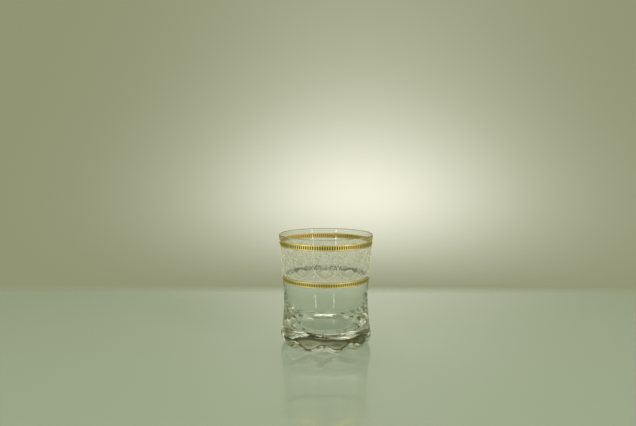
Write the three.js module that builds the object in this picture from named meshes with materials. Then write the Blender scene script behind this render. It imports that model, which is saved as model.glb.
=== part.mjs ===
// An old-fashioned tumbler: a heavy moulded glass on a scalloped foot, with two gilded bands
// round the wall and an openwork lace of frosted enamel between them.
// Millimetres, +Z up. The origin is the centre of the circle that the feet stand on.

import * as THREE from 'three';

// Glass, outside
const height = 96.5;
const rimRadius = 41;
const waistRadius = 36.95;
const waistTop = 47;            // the wall tapers from the rim down to here
const waistBottom = 38;         // and flares from here down to the foot
const footRadius = 39.8;        // widest part of the base, on a lobe
const footWidestHeight = 7;
const flareFootHandle = 4;      // how long the flare leaves the foot upright
const flareWaistHandle = 12;    // and how long it enters the waist upright

// Glass, inside
const rimThickness = 1.2;       // fire-polished to a full round
const bowlTop = 44;             // the wall starts to thicken here
const bowlTopWall = 2.6;
const bowlTopHandle = 6;        // how far the bowl keeps on down the wall
const heelRadius = 30.5;        // where the side of the bowl turns into its floor
const heelHeight = 21;
const heelLean = 0.2;           // radius lost for each millimetre down, at the heel
const heelWallHandle = 12;
const heelFloorHandle = 4;
const floorRadius = 22;         // level middle of the floor
const floorHeight = 15;
const floorHandle = 5;

// Scalloped foot
const lobeCount = 10;
const archRise = 2.8;           // height of the arch between two feet
const archDraw = 1.6;           // how far the outline draws in under that arch
const lobeTop = 30;             // the lobes have died into the flare here
const padInnerRadius = 33;
const padOuterRadius = 36;
const padLength = 4.6;          // flat of one foot, along the circle
const padSoftness = 0.35;       // how gently an arch leaves its flats
const hollowRadius = 27.5;      // the arches run in under the glass to here
const hollowHeight = 1.2;       // rise of the dished underside
const hollowTopHandle = 16;
const hollowEdgeHandle = 5;

// Gilded bands, fired into shallow grooves
const upperBandDrop = 4.7;      // rim to the band's top edge
const upperBandHeight = 4.7;
const lowerBandBase = 56.1;     // table to the band's bottom edge
const lowerBandHeight = 4.25;
const bandLine = 0.9;           // border line along each edge
const barPitch = 2;
const barWidth = 1;
const barHeight = 0.15;         // bars and lines stand this far proud of the wall
const goldFilm = 0.15;          // gold between the bars, flush with the wall
const firedClearance = 0.08;    // between a fired film and the glass behind it

// Frosted lace
const laceGap = 1;              // clear glass between a gold band and the lace
const laceThickness = 0.2;
const laceLine = 0.8;           // border line along each edge
const laceStrand = 1.1;
const laceRepeats = 12;
const leafBelly = 0.7;          // under 1, the leaf is widest below its middle
const leafPoint = 1.15;         // over 1, the leaf's sides draw in to an ogee tip

// Facets
const lobeFacets = 10;          // round the glass, for each lobe
const leafFacets = 7;           // up a leaf
const laceLineFacets = 2;       // along a border line, for half a repeat

const taper = (rimRadius - waistRadius) / (height - waistTop);
const upperBandTop = height - upperBandDrop;
const upperBandBase = upperBandTop - upperBandHeight;
const lowerBandTop = lowerBandBase + lowerBandHeight;
const laceBase = lowerBandTop + laceGap;
const laceTop = upperBandBase - laceGap;

// Outside radius of the tapered wall.
function wallRadius(z) {
  return waistRadius + taper * (z - waistTop);
}

function point(radius, z) {
  return new THREE.Vector2(radius, z);
}

// A point on the tapered wall, at an angle from the front towards the right.
function onWall(angle, z, proud) {
  const radius = wallRadius(z) + proud;
  return new THREE.Vector3(radius * Math.sin(angle), -radius * Math.cos(angle), z);
}

// A closed surface from its four-cornered faces, each listed anticlockwise as seen from outside.
function fromFaces(faces) {
  const corners = faces.flatMap(([a, b, c, d]) => [a, b, c, a, c, d]);
  return new THREE.BufferGeometry().setFromPoints(corners);
}

// 0 on the flat of a foot, rising to 1 in the middle of the arch between two feet.
function archShare(angle) {
  const wave = (turn) => (1 - Math.cos(lobeCount * turn)) / 2;
  const padRadius = (padInnerRadius + padOuterRadius) / 2;
  const flat = wave(padLength / 2 / padRadius);
  const rise = Math.max(0, (wave(angle) - flat) / (1 - flat));
  return rise ** 2 * (1 + padSoftness) / (rise + padSoftness);
}

// Lifts and draws in the foot between its lobes. Only the outside of the glass is moved,
// fully from the pads outwards, and less and less up the flare.
function scallop(geometry, rings, outsideRings) {
  const position = geometry.attributes.position;
  for (let i = 0; i < position.count; i += 1) {
    const x = position.getX(i);
    const y = position.getY(i);
    const z = position.getZ(i);
    const radius = Math.hypot(x, y);
    if (i % rings >= outsideRings || z >= lobeTop || radius <= hollowRadius) {
      continue;
    }
    const reach = THREE.MathUtils.smoothstep(radius, hollowRadius, padInnerRadius);
    const share = archShare(Math.atan2(x, -y)) * reach * (1 - z / lobeTop) ** 2;
    const drawn = 1 - archDraw * share / radius;
    position.setXYZ(i, x * drawn, y * drawn, z + archRise * share);
  }
}

function grooveOutline(base, top) {
  const depth = goldFilm + firedClearance;
  return [
    point(wallRadius(base), base),
    point(wallRadius(base) - depth, base),
    point(wallRadius(top) - depth, top),
    point(wallRadius(top), top),
  ];
}

function glassBody() {
  const underside = new THREE.CubicBezierCurve(
    point(0, hollowHeight),
    point(hollowTopHandle, hollowHeight),
    point(padInnerRadius - hollowEdgeHandle, 0),
    point(padInnerRadius, 0),
  );
  const footRound = new THREE.EllipseCurve(
    padOuterRadius, footWidestHeight, footRadius - padOuterRadius, footWidestHeight, -Math.PI / 2, 0,
  );
  const flare = new THREE.CubicBezierCurve(
    point(footRadius, footWidestHeight),
    point(footRadius, footWidestHeight + flareFootHandle),
    point(waistRadius, waistBottom - flareWaistHandle),
    point(waistRadius, waistBottom),
  );
  const rimRound = rimThickness / 2;
  const rim = new THREE.EllipseCurve(
    rimRadius - rimRound, height - rimRound, rimRound, rimRound, 0, Math.PI,
  );
  const bowlTopRadius = wallRadius(bowlTop) - bowlTopWall;
  const bowlSide = new THREE.CubicBezierCurve(
    point(bowlTopRadius, bowlTop),
    point(bowlTopRadius - taper * bowlTopHandle, bowlTop - bowlTopHandle),
    point(heelRadius + heelLean * heelWallHandle, heelHeight + heelWallHandle),
    point(heelRadius, heelHeight),
  );
  const bowlHeel = new THREE.CubicBezierCurve(
    point(heelRadius, heelHeight),
    point(heelRadius - heelLean * heelFloorHandle, heelHeight - heelFloorHandle),
    point(floorRadius + floorHandle, floorHeight),
    point(floorRadius, floorHeight),
  );
  const outside = [
    ...underside.getPoints(3),
    ...footRound.getPoints(4),
    ...flare.getPoints(4).slice(1),
    point(waistRadius, waistTop),
    ...grooveOutline(lowerBandBase, lowerBandTop),
    ...grooveOutline(upperBandBase, upperBandTop),
  ];
  const inside = [
    ...bowlSide.getPoints(3),
    ...bowlHeel.getPoints(3).slice(1),
    point(0, floorHeight),
  ];
  const outline = [...outside, ...rim.getPoints(4), ...inside];
  const geometry = new THREE.LatheGeometry(outline, lobeCount * lobeFacets);
  geometry.rotateX(Math.PI / 2);
  scallop(geometry, outline.length, outside.length);
  return geometry;
}

// A ring in its groove. Between each bar and the next a pocket is sunk, flush with the wall.
function gildedBand(base, top) {
  const low = base + firedClearance;
  const high = top - firedClearance;
  const radius = wallRadius((low + high) / 2);
  const bars = Math.round(2 * Math.PI * radius / barPitch);
  const halfBar = barWidth / 2 / radius;
  const raised = ([angle, z]) => onWall(angle, z, barHeight);
  const flush = ([angle, z]) => onWall(angle, z, 0);
  const behind = ([angle, z]) => onWall(angle, z, -goldFilm);
  const faces = [];
  for (let i = 0; i < bars; i += 1) {
    const left = 2 * Math.PI * i / bars;
    const right = 2 * Math.PI * (i + 1) / bars;
    const land = [[left, low], [right, low], [right, high], [left, high]];
    const pocket = [
      [left + halfBar, low + bandLine],
      [right - halfBar, low + bandLine],
      [right - halfBar, high - bandLine],
      [left + halfBar, high - bandLine],
    ];
    for (let k = 0; k < land.length; k += 1) {
      const next = (k + 1) % land.length;
      faces.push([raised(land[k]), raised(land[next]), raised(pocket[next]), raised(pocket[k])]);
      faces.push([raised(pocket[k]), raised(pocket[next]), flush(pocket[next]), flush(pocket[k])]);
    }
    faces.push(pocket.map(flush));
    faces.push(land.map(behind).reverse());
    faces.push([behind(land[0]), behind(land[1]), raised(land[1]), raised(land[0])]);
    faces.push([raised(land[3]), raised(land[2]), behind(land[2]), behind(land[3])]);
  }
  return fromFaces(faces);
}

// The rows of half a repeat of the lace, from its bottom edge to its top. Each row has a height and
// the places across it, as shares of half a repeat from the leaf's middle to where two leaves touch:
// the middle, the inner and outer edge of the leaf's strand, and steps on to the touching line.
function laceRows() {
  const halfRepeat = Math.PI * wallRadius((laceBase + laceTop) / 2) / laceRepeats;
  const strand = laceStrand / 2 / halfRepeat;
  const low = laceBase + laceLine;
  const high = laceTop - laceLine;
  const row = (z, width) => {
    const inner = Math.max(0, width - strand);
    const outer = Math.min(1, width + strand);
    const places = [0, inner];
    for (let k = 0; k <= laceLineFacets; k += 1) {
      places.push(THREE.MathUtils.lerp(outer, 1, k / laceLineFacets));
    }
    return { z, places };
  };
  const leaf = [];
  for (let k = 0; k <= leafFacets; k += 1) {
    const share = k / leafFacets;
    const width = Math.sin(Math.PI * share) ** leafPoint;
    leaf.push(row(THREE.MathUtils.lerp(low, high, share ** (1 / leafBelly)), width));
  }
  return [row(laceBase, 0), ...leaf, row(laceTop, 0)];
}

// An openwork ring: border lines along both edges, and a leaf in each repeat that touches the next.
function frostedLace() {
  const rows = laceRows();
  const columns = rows[0].places.length - 1;
  const front = firedClearance + laceThickness;
  const isLine = (i) => i === 0 || i === rows.length - 2;
  const hasWidth = (i, j) => rows[i].places[j + 1] > rows[i].places[j]
    || rows[i + 1].places[j + 1] > rows[i + 1].places[j];
  const isSolid = (i, j) => isLine(i) || j === 1;
  const isEdge = (i) => i < 0 || i > rows.length - 2;
  const isOpen = (i, j) => isEdge(i) || (j >= 0 && j < columns && hasWidth(i, j) && !isSolid(i, j));
  const faces = [];
  for (let half = 0; half < 2 * laceRepeats; half += 1) {
    const side = half % 2 === 0 ? 1 : -1;
    const middle = Math.PI * (2 * Math.floor(half / 2) + 1) / laceRepeats;
    const at = (i, j, proud) => {
      const angle = middle + side * rows[i].places[j] * Math.PI / laceRepeats;
      return onWall(angle, rows[i].z, proud);
    };
    const addFace = (...corners) => faces.push(side > 0 ? corners : corners.reverse());
    const addWall = ([i, j], [m, n]) => addFace(
      at(i, j, firedClearance), at(m, n, firedClearance), at(m, n, front), at(i, j, front),
    );
    for (let i = 0; i < rows.length - 1; i += 1) {
      for (let j = 0; j < columns; j += 1) {
        if (!isSolid(i, j) || !hasWidth(i, j)) {
          continue;
        }
        const ring = [[i, j], [i, j + 1], [i + 1, j + 1], [i + 1, j]];
        addFace(...ring.map(([m, n]) => at(m, n, front)));
        addFace(...ring.map(([m, n]) => at(m, n, firedClearance)).reverse());
        const neighbours = [[i - 1, j], [i, j + 1], [i + 1, j], [i, j - 1]];
        neighbours.forEach((neighbour, k) => {
          if (isOpen(...neighbour)) {
            addWall(ring[k], ring[(k + 1) % ring.length]);
          }
        });
      }
    }
  }
  return fromFaces(faces);
}

function named(name, geometry, look) {
  const mesh = new THREE.Mesh(geometry, new THREE.MeshStandardMaterial(look));
  mesh.name = name;
  return mesh;
}

const clearGlass = { color: '#e4ebe0', roughness: 0.03, metalness: 0, transparent: true, opacity: 0.35 };
const firedGold = { color: '#b8973f', roughness: 0.28, metalness: 1 };
const frostedEnamel = { color: '#e6e6dc', roughness: 0.75, metalness: 0 };

const tumbler = new THREE.Group();
tumbler.add(
  named('glass_body', glassBody(), clearGlass),
  named('upper_gold_band', gildedBand(upperBandBase, upperBandTop), firedGold),
  named('lower_gold_band', gildedBand(lowerBandBase, lowerBandTop), firedGold),
  named('frosted_lace', frostedLace(), frostedEnamel),
);

export default tumbler;
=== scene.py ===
import math

import bpy
import numpy as np
from mathutils import Euler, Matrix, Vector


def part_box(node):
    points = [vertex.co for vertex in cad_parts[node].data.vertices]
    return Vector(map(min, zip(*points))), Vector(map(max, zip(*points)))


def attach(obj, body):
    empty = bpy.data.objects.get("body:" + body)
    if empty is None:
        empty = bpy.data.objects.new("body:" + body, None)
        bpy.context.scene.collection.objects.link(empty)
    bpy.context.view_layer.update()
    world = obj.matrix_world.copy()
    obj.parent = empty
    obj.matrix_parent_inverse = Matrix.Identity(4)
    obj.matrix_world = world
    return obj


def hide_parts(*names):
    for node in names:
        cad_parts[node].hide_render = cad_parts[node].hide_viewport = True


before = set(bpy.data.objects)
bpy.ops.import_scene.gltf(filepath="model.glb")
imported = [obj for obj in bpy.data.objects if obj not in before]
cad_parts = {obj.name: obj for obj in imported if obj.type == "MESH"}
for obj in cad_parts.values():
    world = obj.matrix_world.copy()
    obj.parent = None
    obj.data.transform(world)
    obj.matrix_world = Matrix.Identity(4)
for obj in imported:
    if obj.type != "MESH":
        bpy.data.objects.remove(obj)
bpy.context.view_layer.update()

mm = 0.001
scene = bpy.context.scene
scene.view_settings.view_transform = "Standard"
scene.cycles.max_bounces = 32                 # light crosses many faces of glass and lace
scene.cycles.transmission_bounces = 32
scene.cycles.glossy_bounces = 12
scene.cycles.transparent_max_bounces = 48

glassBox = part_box("glass_body")
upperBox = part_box("upper_gold_band")
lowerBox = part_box("lower_gold_band")
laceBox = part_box("frosted_lace")
glassHeight = glassBox[1].z
rimRadius = glassBox[1].x


# Helpers for meshes and nodes

# puts points and faces straight into a mesh, smooth shaded, at the origin
def makePiece(name, points, quads, triangles, material, **pointValues):
    mesh = bpy.data.meshes.new(name)
    corners = np.concatenate([quads.ravel(), triangles.ravel()]).astype(np.int32)
    sizes = np.concatenate([np.full(len(quads), 4), np.full(len(triangles), 3)]).astype(np.int32)
    starts = np.concatenate([[0], np.cumsum(sizes)[:-1]]).astype(np.int32)
    mesh.vertices.add(len(points))
    mesh.vertices.foreach_set("co", points.astype(np.float32).ravel())
    mesh.loops.add(len(corners))
    mesh.loops.foreach_set("vertex_index", corners)
    mesh.polygons.add(len(sizes))
    mesh.polygons.foreach_set("loop_start", starts)
    mesh.polygons.foreach_set("use_smooth", np.ones(len(sizes), dtype=bool))
    for key, values in pointValues.items():
        layer = mesh.attributes.new(key, "FLOAT", "POINT")
        layer.data.foreach_set("value", values.astype(np.float32).ravel())
    mesh.update(calc_edges=True)
    mesh.validate()
    mesh.materials.append(material)
    piece = bpy.data.objects.new(name, mesh)
    scene.collection.objects.link(piece)
    return piece


# quads of a grid of rows and columns, closed round the columns and, if asked, round the rows
def gridQuads(rows, columns, closedRows=False):
    row = np.arange(rows if closedRows else rows - 1)[:, None]
    column = np.arange(columns)[None, :]
    nextRow = (row + 1) % rows
    nextColumn = (column + 1) % columns
    quads = np.stack(np.broadcast_arrays(
        row * columns + column, row * columns + nextColumn,
        nextRow * columns + nextColumn, nextRow * columns + column), axis=-1)
    return quads.reshape(-1, 4)


# cubic Bezier curve, the four control points weighted by the Bernstein terms of t
def bezier(start, startHandle, endHandle, end, steps):
    t = np.linspace(0, 1, steps + 1)[:, None]
    weights = np.hstack([(1 - t) ** 3, 3 * (1 - t) ** 2 * t, 3 * (1 - t) * t ** 2, t ** 3])
    return weights @ np.array([start, startHandle, endHandle, end], dtype=float)


# part of an ellipse between two angles, counted from the outward direction
def arc(centre, radii, fromAngle, toAngle, steps):
    turn = np.linspace(fromAngle, toAngle, steps + 1)
    return np.array(centre) + np.array(radii) * np.stack([np.cos(turn), np.sin(turn)], axis=1)


def straight(start, end, steps):
    return np.linspace(start, end, steps + 1)


# 0 below low, 1 above high and a smooth S between them; low may be the larger, which turns it round
def smoothStep(low, high, value):
    t = np.clip((value - low) / (high - low), 0, 1)
    return t * t * (3 - 2 * t)


# adds a node, sets its properties, and sets or links its sockets
def addNode(tree, kind, sockets=None, **settings):
    node = tree.nodes.new(kind)
    for key, value in settings.items():
        setattr(node, key, value)
    for socket, value in (sockets or {}).items():
        if isinstance(value, bpy.types.NodeSocket):
            tree.links.new(value, node.inputs[socket])
        else:
            node.inputs[socket].default_value = value
    return node


# sRGB hex to linear colour
def linear(hexColour, alpha=1.0):
    srgb = np.array([int(hexColour[i:i + 2], 16) for i in (1, 3, 5)]) / 255
    value = np.where(srgb <= 0.04045, srgb / 12.92, ((srgb + 0.055) / 1.055) ** 2.4)
    return (*(float(part) for part in value), alpha)


def newMaterial(name):
    material = bpy.data.materials.new(name)
    material.use_nodes = True
    material.node_tree.nodes.clear()
    return material, material.node_tree


# Clear soda-lime glass, pressed in a mould and fire polished: colourless, a faint olive in the thick
# base, and ripples left by the mould, mostly inside the base, that break the light there into curls.
def sodaLimeGlass():
    material, tree = newMaterial("pressed_soda_lime_glass")
    place = addNode(tree, "ShaderNodeTexCoord")
    ripple = addNode(tree, "ShaderNodeAttribute", attribute_name="ripple")
    wave = addNode(tree, "ShaderNodeTexNoise", {
        "Vector": place.outputs["Object"], "Scale": 1 / (4.5 * mm), "Detail": 1.5, "Roughness": 0.4})
    bump = addNode(tree, "ShaderNodeBump", {
        "Height": wave.outputs["Fac"], "Strength": ripple.outputs["Fac"], "Distance": 0.2 * mm})
    shader = addNode(tree, "ShaderNodeBsdfPrincipled", {
        "Base Color": linear("#fdfefc"), "Roughness": 0.0, "IOR": 1.52, "Transmission Weight": 1.0,
        "Normal": bump.outputs["Normal"]})
    tint = addNode(tree, "ShaderNodeVolumeAbsorption", {"Color": linear("#d4d7b0"), "Density": 6.0})
    addNode(tree, "ShaderNodeOutputMaterial", {
        "Surface": shader.outputs["BSDF"], "Volume": tint.outputs["Volume"]})
    return material


# Bright gold, fired over etched relief: a pale warm mirror on the bars and lines, and dull brown in the
# etched ground between them, where the film lies on a rough surface, with a mottle from the firing.
def firedGold():
    material, tree = newMaterial("fired_bright_gold")
    place = addNode(tree, "ShaderNodeTexCoord")
    # the relief share, which on the lower band's back also carries painted shade
    reliefAndShade = addNode(tree, "ShaderNodeAttribute", attribute_name="relief")
    mottle = addNode(tree, "ShaderNodeTexNoise", {
        "Vector": place.outputs["Object"], "Scale": 1 / (3.5 * mm), "Detail": 4.0, "Roughness": 0.6})
    crest = addNode(tree, "ShaderNodeMix", {
        "Factor": mottle.outputs["Fac"], 6: linear("#e6c05a"), 7: linear("#ffee9e")}, data_type="RGBA")
    colour = addNode(tree, "ShaderNodeMix", {
        "Factor": reliefAndShade.outputs["Fac"], 6: linear("#302106"), 7: crest.outputs[2]}, data_type="RGBA")
    dullness = addNode(tree, "ShaderNodeMapRange", {
        "Value": reliefAndShade.outputs["Fac"], "To Min": 0.6, "To Max": 0.46})
    grain = addNode(tree, "ShaderNodeTexNoise", {
        "Vector": place.outputs["Object"], "Scale": 1 / (0.5 * mm), "Detail": 2.0})
    bump = addNode(tree, "ShaderNodeBump", {
        "Height": grain.outputs["Fac"], "Strength": 0.3, "Distance": 0.02 * mm})
    shader = addNode(tree, "ShaderNodeBsdfPrincipled", {
        "Base Color": colour.outputs[2], "Metallic": 1.0, "Roughness": dullness.outputs["Result"],
        "Normal": bump.outputs["Normal"]})
    addNode(tree, "ShaderNodeOutputMaterial", {"Surface": shader.outputs["BSDF"]})
    return material


# Frosted enamel, screen printed and fired: a thin matt white that lets some of the background
# through, thickest in the drawn strokes and a faint haze between them, with a chalky grain.
def frostedEnamel():
    material, tree = newMaterial("frosted_enamel_print")
    place = addNode(tree, "ShaderNodeTexCoord")
    body = addNode(tree, "ShaderNodeAttribute", attribute_name="cover")
    grain = addNode(tree, "ShaderNodeTexNoise", {
        "Vector": place.outputs["Object"], "Scale": 1 / (0.6 * mm), "Detail": 2.0, "Roughness": 0.6})
    colour = addNode(tree, "ShaderNodeMix", {
        "Factor": grain.outputs["Fac"], 6: linear("#e0dec6"), 7: linear("#fbf9e4")}, data_type="RGBA")
    patchy = addNode(tree, "ShaderNodeMapRange", {
        "Value": grain.outputs["Fac"], "To Min": 0.45, "To Max": 1.5})
    cover = addNode(tree, "ShaderNodeMath", {0: body.outputs["Fac"], 1: patchy.outputs["Result"]},
                    operation="MULTIPLY", use_clamp=True)
    bump = addNode(tree, "ShaderNodeBump", {
        "Height": grain.outputs["Fac"], "Strength": 0.4, "Distance": 0.03 * mm})
    shader = addNode(tree, "ShaderNodeBsdfPrincipled", {
        "Base Color": colour.outputs[2], "Roughness": 0.75, "Alpha": cover.outputs["Value"],
        "Normal": bump.outputs["Normal"]})
    addNode(tree, "ShaderNodeOutputMaterial", {"Surface": shader.outputs["BSDF"]})
    return material


# The glass body

glass = dict(
    waistRadius=36.95, waistTop=47, waistBottom=38,         # mm, the straight waist
    footRadius=39.8, footWidestHeight=8,                    # widest part of the base, on a lobe
    flareFootHandle=4, flareWaistHandle=12,                 # how long the flare stays upright at its ends
    rimThickness=1.2, rimRows=0.8,                          # a full round, with rows close below it
    bowlTop=44, bowlTopWall=2.6, bowlTopHandle=6,           # the wall thickens from here down
    heelRadius=30.5, heelHeight=21, heelLean=0.24,          # where the wall turns into the floor
    heelWallHandle=12, heelFloorHandle=4,
    floorRadius=22, floorHeight=15, floorHandle=5,          # flat middle of the floor
    lobeCount=10, archRise=3.0, archDraw=0.8, lobeTop=30,   # scallops of the foot
    padInnerRadius=32, padOuterRadius=33.8, padLength=2.6,  # flats that the glass stands on
    padSoftness=0.1,                                        # how gently an arch leaves its flats
    hollowRadius=27.5, hollowHeight=1.2,                    # domed underside
    hollowTopHandle=16, hollowEdgeHandle=5,
    poleRadius=0.5,                                         # last ring of points round each pole
    rippleWall=0.25, rippleOutside=0.15,                    # how strong the ripples are, as shares
    rippleFrom=34, rippleTo=17,                             # they grow from here down to the thick base
    segments=390,
)
waistTop = glass["waistTop"] * mm
waistRadius = glass["waistRadius"] * mm
taper = (rimRadius - waistRadius) / (glassHeight - waistTop)


# outside radius of the tapered wall: the waist, plus the taper times the height above it
def wallRadius(z):
    return waistRadius + taper * (z - waistTop)


# angle from the front towards the right, radius and height to a point
def polar(angle, radius, z):
    return np.stack(np.broadcast_arrays(radius * np.sin(angle), -radius * np.cos(angle), z), axis=-1)


# 0 on the flat of a foot, 1 in the middle of an arch: a raised cosine with its foot cut off, then its
# square over itself plus the softness, so that it leaves the flat gently
def archShare(angle):
    padRadius = (glass["padInnerRadius"] + glass["padOuterRadius"]) / 2
    flat = (1 - math.cos(glass["lobeCount"] * glass["padLength"] / 2 / padRadius)) / 2
    wave = (1 - np.cos(glass["lobeCount"] * angle)) / 2
    rise = np.clip((wave - flat) / (1 - flat), 0, None)
    return rise ** 2 * (1 + glass["padSoftness"]) / (rise + glass["padSoftness"])


# the outline from the middle of the underside, out over the foot, up the wall, over the rim and
# down the bowl to the middle of its floor, turned round the axis; the outside of the foot is then
# lifted and drawn in between the lobes, less and less up the flare. Each stretch of the outline ends
# with its count of rows
def buildGlass(material):
    g = {key: value * mm for key, value in glass.items()}
    rimRound = g["rimThickness"] / 2
    rimEnd = glassHeight - rimRound
    rimStart = rimEnd - g["rimRows"]
    bowlRadius = wallRadius(g["bowlTop"]) - g["bowlTopWall"]
    outside = np.vstack([
        bezier((g["poleRadius"], g["hollowHeight"]), (g["hollowTopHandle"], g["hollowHeight"]),
               (g["padInnerRadius"] - g["hollowEdgeHandle"], 0), (g["padInnerRadius"], 0), 32)[:-1],
        straight((g["padInnerRadius"], 0), (g["padOuterRadius"], 0), 6)[:-1],
        arc((g["padOuterRadius"], g["footWidestHeight"]),
            (g["footRadius"] - g["padOuterRadius"], g["footWidestHeight"]), -math.pi / 2, 0, 24)[:-1],
        bezier((g["footRadius"], g["footWidestHeight"]),
               (g["footRadius"], g["footWidestHeight"] + g["flareFootHandle"]),
               (waistRadius, g["waistBottom"] - g["flareWaistHandle"]),
               (waistRadius, g["waistBottom"]), 48)[:-1],
        straight((waistRadius, g["waistBottom"]), (waistRadius, waistTop), 4)[:-1],
        straight((waistRadius, waistTop), (wallRadius(rimStart), rimStart), 24)[:-1],
        straight((wallRadius(rimStart), rimStart), (wallRadius(rimEnd), rimEnd), 4),
    ])
    rimMiddle = wallRadius(rimEnd) - rimRound
    neck = np.array([rimMiddle - rimRound, rimEnd])
    downNeck = np.array([bowlRadius, g["bowlTop"]]) - neck
    neckEnd = neck + downNeck * g["rimRows"] / (rimEnd - g["bowlTop"])
    heel = np.array([g["heelRadius"], g["heelHeight"]])
    downHeel = np.array([-glass["heelLean"], -1.0])
    inside = np.vstack([
        arc((rimMiddle, rimEnd), (rimRound, rimRound), 0, math.pi, 16)[1:-1],
        straight(neck, neckEnd, 4)[:-1],
        straight(neckEnd, (bowlRadius, g["bowlTop"]), 16)[:-1],
        bezier((bowlRadius, g["bowlTop"]),
               (bowlRadius - taper * g["bowlTopHandle"], g["bowlTop"] - g["bowlTopHandle"]),
               heel - downHeel * g["heelWallHandle"], heel, 40)[:-1],
        bezier(heel, heel + downHeel * g["heelFloorHandle"],
               (g["floorRadius"] + g["floorHandle"], g["floorHeight"]),
               (g["floorRadius"], g["floorHeight"]), 24)[:-1],
        straight((g["floorRadius"], g["floorHeight"]), (g["poleRadius"], g["floorHeight"]), 8),
    ])
    outline = np.vstack([outside, inside])
    angle = np.linspace(0, 2 * math.pi, glass["segments"], endpoint=False)[None, :]
    radius, z = outline[:, :1], outline[:, 1:]
    isOutside = (np.arange(len(outline)) < len(outside))[:, None]
    reach = smoothStep(g["hollowRadius"], g["padInnerRadius"], radius) * isOutside
    share = archShare(angle) * reach * np.clip(1 - z / g["lobeTop"], 0, None) ** 2
    grid = polar(angle, radius - g["archDraw"] * share, z + g["archRise"] * share)
    rows, columns = grid.shape[:2]
    points = np.vstack([grid.reshape(-1, 3), [(0, 0, g["hollowHeight"]), (0, 0, g["floorHeight"])]])
    # the ripple is the wall's share, and the rest is added with the depth, only a little of it outside
    deep = smoothStep(g["rippleFrom"], g["rippleTo"], z) * np.where(isOutside, glass["rippleOutside"], 1)
    ripple = glass["rippleWall"] + (1 - glass["rippleWall"]) * deep * np.ones_like(angle)
    ripple = np.append(ripple.ravel(), [ripple[0, 0], ripple[-1, 0]])
    ring = np.arange(columns)
    after = (ring + 1) % columns
    bottomPole, topPole = rows * columns, rows * columns + 1
    last = (rows - 1) * columns
    triangles = np.vstack([
        np.stack([np.full(columns, bottomPole), after, ring], axis=1),
        np.stack([np.full(columns, topPole), last + ring, last + after], axis=1)])
    return makePiece("glassTumbler", points, gridQuads(rows, columns), triangles, material, ripple=ripple)


# The gold bands

band = dict(
    pitch=2.0, barWidth=1.0, line=0.9,      # mm, bars and border lines
    relief=0.12, film=0.03, sink=0.08,      # bars above the wall, film between them, root in the glass
    edge=0.16,                              # rounding of a bar's edges
    columnsPerBar=12, rows=30,
)


# a closed ring: its outer face stands off the wall by the film, plus the relief where a border line
# or a bar is, with soft edges; its inner face is sunk in the glass so that no air is left between.
# The gold reads the relief for its colour, and on the inner face it runs between the two back values given,
# which on the lower band are kept low to paint the shade that the lace casts on its back
def buildBand(name, box, backGroundAndShade, backCrestAndShade, material):
    b = {key: value * mm for key, value in band.items()}
    low, high = box[0].z, box[1].z
    middleRadius = wallRadius((low + high) / 2)
    bars = round(2 * math.pi * middleRadius / b["pitch"])
    columns = bars * band["columnsPerBar"]
    angle = np.linspace(0, 2 * math.pi, columns, endpoint=False)[None, :]
    z = np.linspace(low, high, band["rows"])[:, None]
    fromEdge = np.minimum(z - low, high - z)
    lineShare = smoothStep(b["line"] + b["edge"] / 2, b["line"] - b["edge"] / 2, fromEdge)
    turn = (angle * bars / (2 * math.pi) + 0.5) % 1 - 0.5
    fromBar = np.abs(turn) * b["pitch"]
    barShare = smoothStep(b["barWidth"] / 2 + b["edge"] / 2, b["barWidth"] / 2 - b["edge"] / 2, fromBar)
    rounded = smoothStep(0, b["edge"], fromEdge)
    relief = np.maximum(lineShare, barShare) * np.ones_like(rounded)
    proud = b["film"] + b["relief"] * relief * rounded
    outer = polar(angle, wallRadius(z) + proud, z)
    inner = polar(angle, wallRadius(z[::-1]) - b["sink"], z[::-1])
    grid = np.vstack([outer, inner])
    quads = gridQuads(grid.shape[0], columns, closedRows=True)
    # the back's share runs between the two back values, which on the lower band paint the lace's shade
    reliefAndShade = np.vstack([relief, backGroundAndShade + (backCrestAndShade - backGroundAndShade) * relief[::-1]])
    return makePiece(name, grid.reshape(-1, 3), quads, np.zeros((0, 3), dtype=int), material, relief=reliefAndShade)


# The frosted lace

lace = dict(
    repeats=12, strand=0.75, fineStrand=0.4,            # mm
    leafBelly=0.7, leafPoint=1.15,                      # the leaf's outline, as in the solid
    leafMargin=1.4, leafTip=0.02,                       # leaf to the lace's edge, and share cut off its tips
    innerLeaf=0.84, innerLow=1.3, innerHigh=3.4,        # a second leaf inside it
    scrollStrand=0.45, scrollEnd=0.25,                  # the share that a scroll's radius falls to
    heartUp=0.44, heartRadii=(1.3, 2.4, 3.5),           # arches a little below the leaf's middle
    heartTurn=100, heartStrand=0.55,
    crownUp=2.2, petalTurn=72, petalStep=24,            # a palmette above the heart, angles in degrees
    petalLong=8.2, petalLoss=3.4, petalWidth=2.0,       # its middle petal, and the loss at its sides
    petalBulge=0.8,
    veinStart=2.2, veinEnd=0.72, veinStrand=0.6,        # a ray in each petal
    fanDown=0.8, fanTurn=60, fanStep=15,                # rays that hang below the heart
    fanStart=1.0, fanLong=6.6, fanLoss=2.2, fanStrand=0.62,
    dropTurn=40, dropStart=0.4, dropStrand=0.75,        # three drops at each end of the gap between leaves
    dropHigh=0.3, dropHighLong=4.6, dropLow=0.2, dropLowLong=3.8,
    scallops=8, scallopEdge=1.1,                        # a row of small arches along each edge
    borders=((0.35, 0.5), (1.1, 0.3)),                  # lines along each edge: distance from it, and width
    bluntEnds=0.15, drawnEnds=0.6,                      # powers of a stroke's swelling
    thickness=0.09, sink=0.03, hazeThickness=0.02,
    strokeCover=0.85, hazeCover=0.12,                   # how much of the background each hides, on each face
    steps=14, ringPoints=4, ringColumns=360,
)
laceLow, laceHigh = laceBox[0].z / mm, laceBox[1].z / mm
laceRadius = wallRadius((laceLow + laceHigh) / 2 * mm) / mm
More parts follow.
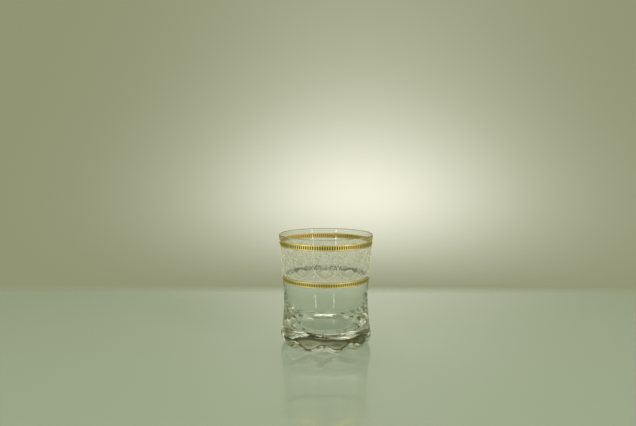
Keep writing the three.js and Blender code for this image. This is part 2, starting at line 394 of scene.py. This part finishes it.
halfRepeat = math.pi * laceRadius / lace["repeats"]


# bends a flat drawing in millimetres round the wall: along becomes the angle, up stays the height
def wrap(along, up, proud):
    z = up * mm
    return polar((along + halfRepeat) / laceRadius, wallRadius(z) + proud * mm, z)


# one stroke: a domed ribbon along a flat path, its width given at each step, closed to a point at
# both ends
def ribbon(path, width):
    steps, ring = len(path), lace["ringPoints"]
    direction = np.gradient(path, axis=0)
    direction /= np.linalg.norm(direction, axis=1, keepdims=True)
    across = np.stack([direction[:, 1], -direction[:, 0]], axis=1)
    turn = np.linspace(0, 2 * math.pi, ring, endpoint=False)
    side, lift = np.cos(turn), np.sin(turn)
    flat = path[:, None, :] + across[:, None, :] * side[None, :, None] * width[:, None, None] / 2
    height = np.where(lift > 0, lift * lace["thickness"], lift * lace["sink"])
    proud = np.broadcast_to(height[None, :], flat.shape[:2])
    ends = path[[0, -1]]
    flatAll = np.vstack([flat.reshape(-1, 2), ends])
    proudAll = np.concatenate([proud.ravel(), [0, 0]])
    quads = gridQuads(steps, ring)[:, ::-1]
    first = np.arange(ring)
    after = (first + 1) % ring
    last = (steps - 1) * ring
    triangles = np.vstack([
        np.stack([np.full(ring, steps * ring), first, after], axis=1),
        np.stack([np.full(ring, steps * ring + 1), last + after, last + first], axis=1)])
    return flatAll, proudAll, quads, triangles


# width of a stroke that swells from nothing to full and back: a power of a sine, and the smaller the
# power, the blunter its ends
def swelling(width, power, steps):
    t = np.linspace(0, 1, steps + 2)[1:-1]
    return width * np.sin(math.pi * t) ** power


# outline of half a leaf: a power of a sine across, a power of the share up
def leafPath(scale, low, high, side, steps):
    share = np.linspace(lace["leafTip"], 1 - lace["leafTip"], steps)
    along = side * halfRepeat * scale * np.sin(math.pi * share) ** lace["leafPoint"]
    return np.stack([along, low + (high - low) * share ** (1 / lace["leafBelly"])], axis=1)


# part of a circle between two directions, counted from straight up
def circlePath(centre, radius, fromDegrees, toDegrees, steps):
    turn = np.radians(np.linspace(fromDegrees, toDegrees, steps))
    return np.array(centre) + radius * np.stack([np.sin(turn), np.cos(turn)], axis=1)


# a petal's loop: out along its axis and back by a power of a sine, and aside by a full turn of a sine
def petalPath(root, degrees, length, width, steps):
    t = np.linspace(0.0, 1.0, steps)
    out = length * np.sin(math.pi * t) ** lace["petalBulge"]
    aside = width / 2 * np.sin(2 * math.pi * t)
    axis = np.array([math.sin(math.radians(degrees)), math.cos(math.radians(degrees))])
    cross = np.array([axis[1], -axis[0]])
    return np.array(root) + out[:, None] * axis + aside[:, None] * cross


def rayPath(root, degrees, start, end, steps):
    out = np.linspace(start, end, steps)[:, None]
    return np.array(root) + out * np.array([math.sin(math.radians(degrees)), math.cos(math.radians(degrees))])


# a scroll: a spiral whose radius falls evenly as it turns
def scrollPath(centre, radius, fromDegrees, turns, side, steps):
    turn = np.radians(fromDegrees) + np.linspace(0, 2 * math.pi * turns, steps)
    reach = np.linspace(radius, lace["scrollEnd"] * radius, steps)
    return np.array(centre) + reach[:, None] * np.stack([side * np.sin(turn), np.cos(turn)], axis=1)


# a repeat of the lace: an ogee leaf with a palmette in it, its heart of three arches, and scrolls and
# drops that fill the corners between one leaf and the next
def lacePattern():
    n = lace["steps"]
    fine, drawn = lace["fineStrand"], lace["drawnEnds"]
    low, high = laceLow + lace["leafMargin"], laceHigh - lace["leafMargin"]
    heart = low + lace["heartUp"] * (high - low)
    crown = (0, heart + lace["crownUp"])
    scrolls = (    # middle across and up, radius, first direction in degrees, turns
        (halfRepeat - 2.6, high - 2.6, 1.9, 200, 1.3), (halfRepeat - 1.9, low + 1.7, 1.4, 20, 1.2),
        (halfRepeat - 1.5, high - 6.6, 1.3, 200, 1.2), (halfRepeat - 3.6, high - 0.4, 1.1, 60, 1.1),
        (5.4, heart + 0.6, 1.5, 20, 1.3), (3.6, heart - 4.0, 1.2, 200, 1.2))
    pattern = []

    def draw(path, width, power=lace["bluntEnds"]):
        pattern.append((path, swelling(width, power, n)))

    for side in (-1, 1):
        draw(leafPath(1.0, low, high, side, n), lace["strand"])
        draw(leafPath(lace["innerLeaf"], low + lace["innerLow"], high - lace["innerHigh"], side, n), fine)
        for across, up, radius, start, turns in scrolls:
            draw(scrollPath((side * across, up), radius, start, turns, side, n), lace["scrollStrand"])
    for radius in lace["heartRadii"]:
        draw(circlePath((0, heart), radius, -lace["heartTurn"], lace["heartTurn"], n), lace["heartStrand"])
    for degrees in range(-lace["petalTurn"], lace["petalTurn"] + 1, lace["petalStep"]):
        length = lace["petalLong"] - lace["petalLoss"] * abs(degrees) / lace["petalTurn"]
        draw(petalPath(crown, degrees, length, lace["petalWidth"], n), fine)
        vein = rayPath(crown, degrees, lace["veinStart"], lace["veinEnd"] * length, n)
        draw(vein, lace["veinStrand"], drawn)
    fanRoot = (0, heart - lace["fanDown"])
    for degrees in range(-lace["fanTurn"], lace["fanTurn"] + 1, lace["fanStep"]):
        length = lace["fanLong"] - lace["fanLoss"] * abs(degrees) / lace["fanTurn"]
        draw(rayPath(fanRoot, 180 + degrees, lace["fanStart"], length, n), lace["fanStrand"], drawn)
    highRoot, lowRoot = (halfRepeat, high - lace["dropHigh"]), (halfRepeat, low + lace["dropLow"])
    for lean in (-1, 0, 1):    # the drops at the sides are 1 mm shorter
        degrees = lean * lace["dropTurn"]
        highEnd, lowEnd = lace["dropHighLong"] - abs(lean), lace["dropLowLong"] - abs(lean)
        draw(rayPath(highRoot, 180 + degrees, lace["dropStart"], highEnd, n), lace["dropStrand"], drawn)
        draw(rayPath(lowRoot, degrees, lace["dropStart"], lowEnd, n), lace["dropStrand"], drawn)
    reach = halfRepeat / lace["scallops"]
    for number in range(lace["scallops"]):
        across = halfRepeat * (2 * (number + 0.5) / lace["scallops"] - 1)
        draw(circlePath((across, laceLow + lace["scallopEdge"]), reach, -90, 90, n), fine)
        draw(circlePath((across, laceHigh - lace["scallopEdge"]), reach, 90, 270, n), fine)
    return pattern


# what runs right round: border lines as domed rings, and the haze as one thin ring between them
def laceRings():
    turn = np.linspace(0, 2 * math.pi, lace["ringPoints"], endpoint=False)
    along = np.linspace(0, 2 * math.pi * laceRadius, lace["ringColumns"], endpoint=False)[None, :]
    lift = np.sin(turn)[:, None]
    height = np.where(lift > 0, lift * lace["thickness"], lift * lace["sink"])
    rings = []
    for edge, inward in ((laceLow, 1), (laceHigh, -1)):
        for inset, width in lace["borders"]:
            up = edge + inward * inset - width / 2 * np.cos(turn)[:, None]
            rings.append((wrap(along, up, height), lace["strokeCover"]))
    up = np.array([laceLow, laceHigh, laceHigh, laceLow])[:, None]
    height = np.array([1, 1, -1, -1])[:, None] * lace["hazeThickness"]
    rings.append((wrap(along, up, height), lace["hazeCover"]))
    return rings


# every stroke of the pattern in every repeat, then the rings, joined to one piece
def buildLace(material):
    points, quads, triangles, cover, count = [], [], [], [], 0
    shift = 2 * halfRepeat * np.arange(lace["repeats"])[:, None]
    for path, width in lacePattern():
        flat, proud, strokeQuads, strokeTriangles = ribbon(path, width)
        spread = wrap(flat[None, :, 0] + shift, np.broadcast_to(flat[None, :, 1], (len(shift), len(flat))),
                      np.broadcast_to(proud[None, :], (len(shift), len(flat))))
        offset = count + len(flat) * np.arange(len(shift))[:, None, None]
        points.append(spread.reshape(-1, 3))
        quads.append((strokeQuads[None] + offset).reshape(-1, 4))
        triangles.append((strokeTriangles[None] + offset).reshape(-1, 3))
        cover.append(np.full(len(points[-1]), lace["strokeCover"]))
        count += len(points[-1])
    for ring, ringCover in laceRings():
        points.append(ring.reshape(-1, 3))
        quads.append(gridQuads(*ring.shape[:2], closedRows=True) + count)
        cover.append(np.full(len(points[-1]), ringCover))
        count += len(points[-1])
    return makePiece("laceOrnament", np.vstack(points), np.vstack(quads), np.vstack(triangles), material,
                     cover=np.concatenate(cover))


clearGlass = sodaLimeGlass()
gold = firedGold()
enamel = frostedEnamel()

tumblerGlass = buildGlass(clearGlass)
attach(tumblerGlass, "root")
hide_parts("glass_body")
tumblerGlass.visible_shadow = False                 # clear glass lets the lamps light what is behind it
print("glass:", len(tumblerGlass.data.polygons), "faces")

# the film's back, seen through the glass, is more even than its face, and on the lower band its dull brown is
# painted shade, where the lace shades it
goldOnly = bpy.data.collections.new("gold_only")    # what the cards beside the glass light
for bandName, node, box, backGroundAndShade, backCrestAndShade in (
        ("goldBandUpper", "upper_gold_band", upperBox, 0.4, 1.0),
        # painted shade: the lower band's back values keep it dark brown where the lace shades it
        ("goldBandLower", "lower_gold_band", lowerBox, 0.0, 0.12)):
    ring = buildBand(bandName, box, backGroundAndShade, backCrestAndShade, gold)
    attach(ring, "root")
    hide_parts(node)
    goldOnly.objects.link(ring)
    print("band:", bandName, len(ring.data.polygons), "faces")

laceOrnament = buildLace(enamel)
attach(laceOrnament, "root")
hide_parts("frosted_lace")
print("lace:", len(laceOrnament.data.polygons), "faces")


# Stage, light and camera

view = dict(
    turn=-14.5,                     # degrees from the front lobe to the camera
    distance=473.3, height=157,     # mm from the axis, and above the table
    pitch=5.13, yaw=0.84,           # degrees down, and to the left of the axis
    focalPixels=544.8, imageWidth=636,
    sensorWidth=36, clipStart=10,   # mm
)
stage = dict(
    tableBack=219, tableSide=1200, tableFront=1500,     # mm from the axis to the table's edges
    tableFade=40,                                       # its far edge is out of focus
    shade=0.82, shadeInner=20, shadeOuter=46,           # the glass takes some light from the table under it
    table="#8f9985", tableCoat=0.03,
    tableRoughness=0.4, tableUneven=0.05, tableCloud=250,
    surround="#909473", ceiling="#393c12",              # plain backdrop, and the dark above and behind
    glow="#ccc9c3",                                     # light that a lamp adds to the backdrop
    glowRight=0.06, glowUp=-0.06,                       # its middle, as shares of a unit direction
    glowWidth=0.268, glowRise=0.15, glowFoot=-0.25,
    glowAhead=0.4,                                      # it is full from this share ahead
    ceilingFrom=0.27, ceilingTo=0.4,
    roomFrom=-0.1, roomTo=-0.5,                         # where the backdrop gives way to the dark room
    mirrorDrop=0.25,                                    # the backdrop is near, so the table mirrors its foot
    frontLight="#808074",                               # soft light that the gold mirrors from in front
    lampLight="#ffffff", throughLight="#f8fbec",
    lampAim=50,                                         # mm above the table
)
turn = math.radians(view["turn"])


# from the camera's own right and forward to the frame
def fromView(right, forward, up):
    return (right * math.cos(turn) - forward * math.sin(turn),
            right * math.sin(turn) + forward * math.cos(turn), up)


# Lacquered board: a satin colour under a clear coat that mirrors what stands on it
def buildTable():
    material, tree = newMaterial("lacquered_board")
    place = addNode(tree, "ShaderNodeTexCoord").outputs["Object"]
    cloud = addNode(tree, "ShaderNodeTexNoise", {
        "Vector": place, "Scale": 1 / (stage["tableCloud"] * mm), "Detail": 2.0})
    gloss = addNode(tree, "ShaderNodeMapRange", {
        "Value": cloud.outputs["Fac"], "To Min": stage["tableRoughness"] - stage["tableUneven"],
        "To Max": stage["tableRoughness"] + stage["tableUneven"]})
    fromAxis = addNode(tree, "ShaderNodeVectorMath", {0: place}, operation="LENGTH")
    shade = addNode(tree, "ShaderNodeMapRange", {
        "Value": fromAxis.outputs["Value"],
        "From Min": stage["shadeInner"] * mm, "From Max": stage["shadeOuter"] * mm,
        "To Min": stage["shade"], "To Max": 1.0}, interpolation_type="SMOOTHSTEP")
    colour = addNode(tree, "ShaderNodeMix", {
        "Factor": 1.0, 6: linear(stage["table"]), 7: shade.outputs["Result"]},
        data_type="RGBA", blend_type="MULTIPLY")
    ahead = addNode(tree, "ShaderNodeVectorMath", {0: place, 1: fromView(0, 1, 0)}, operation="DOT_PRODUCT")
    edge = addNode(tree, "ShaderNodeMapRange", {
        "Value": ahead.outputs["Value"], "From Min": (stage["tableBack"] - stage["tableFade"]) * mm,
        "From Max": stage["tableBack"] * mm, "To Min": 1.0, "To Max": 0.0})
    shader = addNode(tree, "ShaderNodeBsdfPrincipled", {
        "Base Color": colour.outputs[2], "Roughness": gloss.outputs["Result"],
        "Coat Weight": 1.0, "Coat Roughness": stage["tableCoat"], "Alpha": edge.outputs["Result"]})
    addNode(tree, "ShaderNodeOutputMaterial", {"Surface": shader.outputs["BSDF"]})
    side, back, front = (stage[key] * mm for key in ("tableSide", "tableBack", "tableFront"))
    corners = np.array([fromView(-side, -front, 0), fromView(side, -front, 0),
                        fromView(side, back, 0), fromView(-side, back, 0)])
    table = makePiece("table", corners, np.array([[0, 1, 2, 3]]), np.zeros((0, 3), dtype=int), material)


# a plain surround with the glow of a lamp on the backdrop: a bell curve across, and upwards one over
# one plus the square of the height above its middle. Through the glass it is dark overhead and behind
# the camera, and what is mirrored finds the front light there
def buildWorld():
    world = bpy.data.worlds.new("studio")
    world.use_nodes = True
    tree = world.node_tree
    tree.nodes.clear()
    scene.world = world
    place = addNode(tree, "ShaderNodeTexCoord").outputs["Generated"]
    right = addNode(tree, "ShaderNodeVectorMath", {0: place, 1: fromView(1, 0, 0)}, operation="DOT_PRODUCT")
    ahead = addNode(tree, "ShaderNodeVectorMath", {0: place, 1: fromView(0, 1, 0)}, operation="DOT_PRODUCT")
    height = addNode(tree, "ShaderNodeSeparateXYZ", {"Vector": place}).outputs["Z"]
    path = addNode(tree, "ShaderNodeLightPath").outputs
    mirrored = addNode(tree, "ShaderNodeMath", {
        0: path["Is Glossy Ray"], 1: path["Is Transmission Ray"]}, operation="SUBTRACT", use_clamp=True)
    up = addNode(tree, "ShaderNodeMath", {
        0: mirrored.outputs[0], 1: -stage["mirrorDrop"], 2: height}, operation="MULTIPLY_ADD").outputs[0]
    aside = addNode(tree, "ShaderNodeMath", {
        0: right.outputs["Value"], 1: -stage["glowRight"]}, operation="ADD")
    wide = addNode(tree, "ShaderNodeMath", {
        0: aside.outputs[0], 1: stage["glowWidth"]}, operation="DIVIDE")
    square = addNode(tree, "ShaderNodeMath", {
        0: wide.outputs[0], 1: wide.outputs[0]}, operation="MULTIPLY")
    negative = addNode(tree, "ShaderNodeMath", {0: square.outputs[0], 1: -1.0}, operation="MULTIPLY")
    bell = addNode(tree, "ShaderNodeMath", {0: negative.outputs[0]}, operation="EXPONENT")
    rise = addNode(tree, "ShaderNodeMapRange", {
        "Value": up, "From Min": stage["glowUp"], "From Max": stage["glowUp"] + stage["glowRise"],
        "To Max": 1.0}, clamp=False)
    above = addNode(tree, "ShaderNodeMath", {0: rise.outputs["Result"], 1: 0.0}, operation="MAXIMUM")
    aboveSquare = addNode(tree, "ShaderNodeMath", {
        0: above.outputs[0], 1: above.outputs[0], 2: 1.0}, operation="MULTIPLY_ADD")
    foot = addNode(tree, "ShaderNodeMapRange", {
        "Value": up, "From Min": stage["glowFoot"], "From Max": stage["glowUp"]},
        interpolation_type="SMOOTHSTEP")
    fade = addNode(tree, "ShaderNodeMath", {
        0: foot.outputs["Result"], 1: aboveSquare.outputs[0]}, operation="DIVIDE")
    facing = addNode(tree, "ShaderNodeMapRange", {
        "Value": ahead.outputs["Value"], "From Max": stage["glowAhead"]}, interpolation_type="SMOOTHSTEP")
    spread = addNode(tree, "ShaderNodeMath", {0: bell.outputs[0], 1: fade.outputs[0]}, operation="MULTIPLY")
    glow = addNode(tree, "ShaderNodeMath", {
        0: spread.outputs[0], 1: facing.outputs["Result"]}, operation="MULTIPLY")
    ceiling = addNode(tree, "ShaderNodeMapRange", {
        "Value": up, "From Min": stage["ceilingFrom"], "From Max": stage["ceilingTo"]},
        interpolation_type="SMOOTHSTEP")
    behind = addNode(tree, "ShaderNodeMapRange", {
        "Value": ahead.outputs["Value"], "From Min": stage["roomFrom"], "From Max": stage["roomTo"]},
        interpolation_type="SMOOTHSTEP")
    away = addNode(tree, "ShaderNodeMath", {
        0: ceiling.outputs["Result"], 1: behind.outputs["Result"]}, operation="MAXIMUM")
    dark = addNode(tree, "ShaderNodeMath", {
        0: away.outputs[0], 1: path["Is Transmission Ray"]}, operation="MULTIPLY")
    light = addNode(tree, "ShaderNodeMath", {
        0: behind.outputs["Result"], 1: mirrored.outputs[0]}, operation="MULTIPLY")
    room = addNode(tree, "ShaderNodeMix", {
        "Factor": dark.outputs[0], 6: linear(stage["surround"]), 7: linear(stage["ceiling"])},
        data_type="RGBA")
    wall = addNode(tree, "ShaderNodeMix", {
        "Factor": light.outputs[0], 6: room.outputs[2], 7: linear(stage["frontLight"])}, data_type="RGBA")
    lit = addNode(tree, "ShaderNodeMix", {
        "Factor": glow.outputs[0], 6: wall.outputs[2], 7: linear(stage["glow"])},
        data_type="RGBA", blend_type="ADD")
    back = addNode(tree, "ShaderNodeBackground", {"Color": lit.outputs[2], "Strength": 1.0})
    addNode(tree, "ShaderNodeOutputWorld", {"Surface": back.outputs["Background"]})


# a lamp that faces the middle of the glass. A "through" lamp shows only through the glass: the strips
# are streaks on its far wall, and the sky and side lamps light its foot. A "fill" lamp lights only what
# is matt, and a "card" shines only on the gold
def addLamp(name, right, forward, up, width, height, power, kind):
    lamp = bpy.data.lights.new(name, "AREA")
    lamp.shape = "RECTANGLE"
    lamp.size, lamp.size_y = width, height
    lamp.energy = power
    lamp.color = linear(stage["throughLight" if kind == "through" else "lampLight"])[:3]
    rig = bpy.data.objects.new(name, lamp)
    rig.location = fromView(right, forward, up)
    aim = np.array([0, 0, stage["lampAim"] * mm]) - np.array(rig.location)
    flat = math.hypot(aim[0], aim[1])
    rig.rotation_euler = Euler((math.atan2(flat, -aim[2]), 0, math.atan2(-aim[0], aim[1])))
    rig.visible_camera = False
    rig.visible_glossy = kind == "card"
    rig.visible_transmission = kind == "through"
    rig.visible_diffuse = kind != "through"
    if kind == "card":
        rig.light_linking.receiver_collection = goldOnly
    scene.collection.objects.link(rig)


def buildCamera():
    data = bpy.data.cameras.new("camera")
    data.sensor_width = view["sensorWidth"]
    data.lens = view["sensorWidth"] * view["focalPixels"] / view["imageWidth"]
    data.clip_start = view["clipStart"] * mm
    camera = bpy.data.objects.new("camera", data)
    camera.location = fromView(0, -view["distance"] * mm, view["height"] * mm)
    camera.rotation_euler = Euler((math.radians(90 - view["pitch"]), 0, turn + math.radians(view["yaw"])))
    scene.collection.objects.link(camera)
    scene.camera = camera


lamps = (    # metres to the right, forward and up, width and height, then watts and kind
    ("stripRight", 0.301, -0.4, 0.2, 0.043, 0.4, 0.28, "through"),
    ("stripLeft", -0.235, -0.442, 0.2, 0.043, 0.4, 0.28, "through"),
    ("fillLeft", -0.95, -0.75, 0.64, 0.9, 0.25, 7.5, "fill"),
    ("fillRight", 0.95, -0.75, 0.64, 0.35, 0.25, 7, "fill"),
    ("overhead", 0.0, 0.1, 1.3, 0.8, 0.8, 11, "fill"),
    ("skyRight", 0.6, 0.2, 1.3, 1.4, 1.6, 11.5, "through"),
    ("sideLeft", -1.1, 0.1, 0.9, 0.5, 0.8, 4, "through"),
    ("cardLeft", -0.45, -0.4, 0.15, 0.35, 0.3, 1.6, "card"),
    ("cardRight", 0.45, -0.4, 0.15, 0.35, 0.3, 1.5, "card"),
    ("cardBack", 0.0, 0.6, 0.15, 0.9, 0.3, 2.5, "card"),
)
buildTable()
buildWorld()
for lamp in lamps:
    addLamp(*lamp)
buildCamera()
print("stage, lamps and camera ready")
